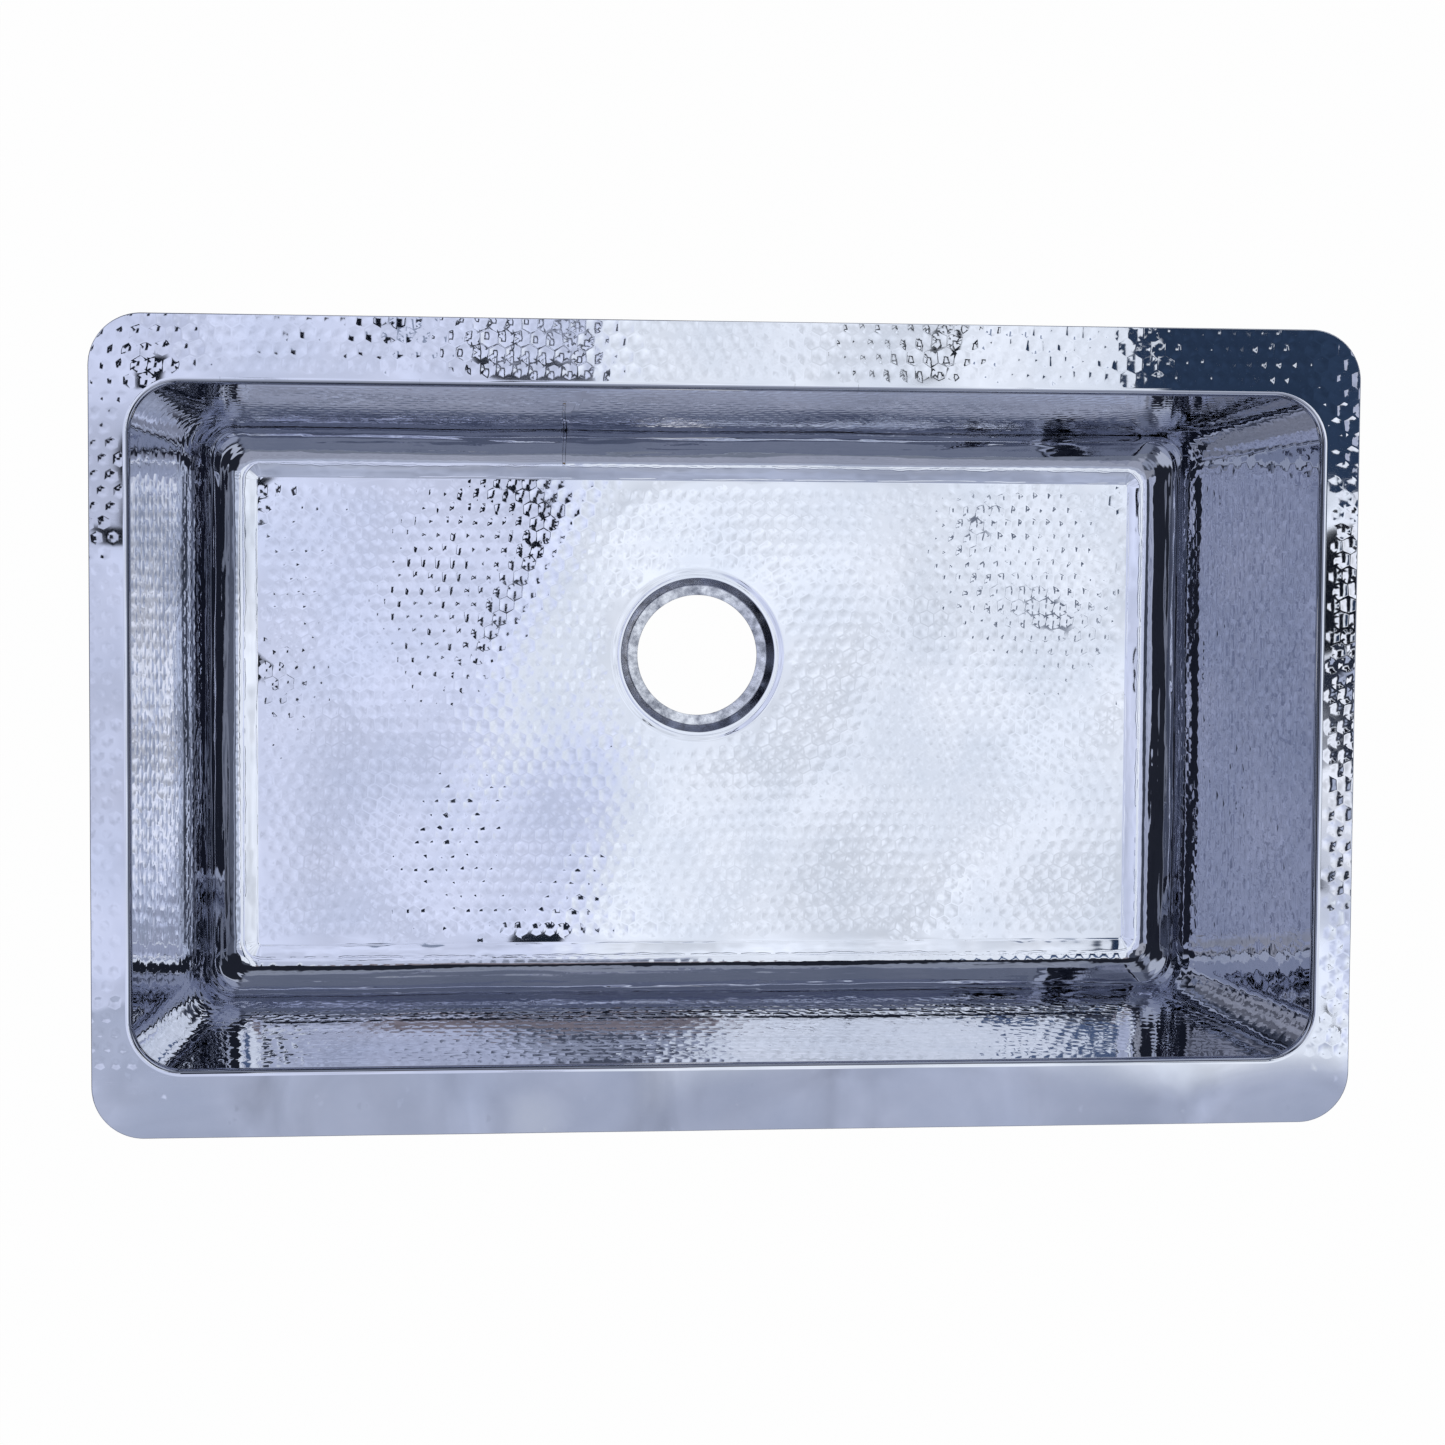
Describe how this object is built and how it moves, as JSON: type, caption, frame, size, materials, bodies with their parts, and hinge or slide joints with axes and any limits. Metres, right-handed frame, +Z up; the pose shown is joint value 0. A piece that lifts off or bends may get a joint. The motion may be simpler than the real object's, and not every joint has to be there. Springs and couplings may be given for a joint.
{
  "type": "undermount kitchen sink",
  "caption": "Deep single-bowl undermount kitchen sink of hammered, polished stainless steel, with a wide flat flange, coved floor and an open round drain.",
  "frame": {"origin": "middle of the bowl's opening, in the plane of the flange's top face", "axes": "+X to the right along the long side, +Y to the back edge, on whose side the drain lies, +Z up out of the bowl"},
  "size_m": [0.838, 0.533, 0.2385],
  "materials": {
    "hammered_steel": "hammered by hand with shallow round dents, then polished bright",
    "drain_steel": "pressed and left semi-bright, with fine scratches",
    "weld_steel": "weld metal, ground flush inside the bowl and left rippled with a heat tint outside"
  },
  "bodies": {
    "root": {"flange": "hammered_steel", "wall_band": "hammered_steel", "floor_panel": "hammered_steel", "drain_ring": "drain_steel", "weld_rim": "weld_steel", "weld_wall_seam": "weld_steel", "weld_floor_seam": "weld_steel", "weld_drain": "weld_steel"}
  },
  "joints": []
}
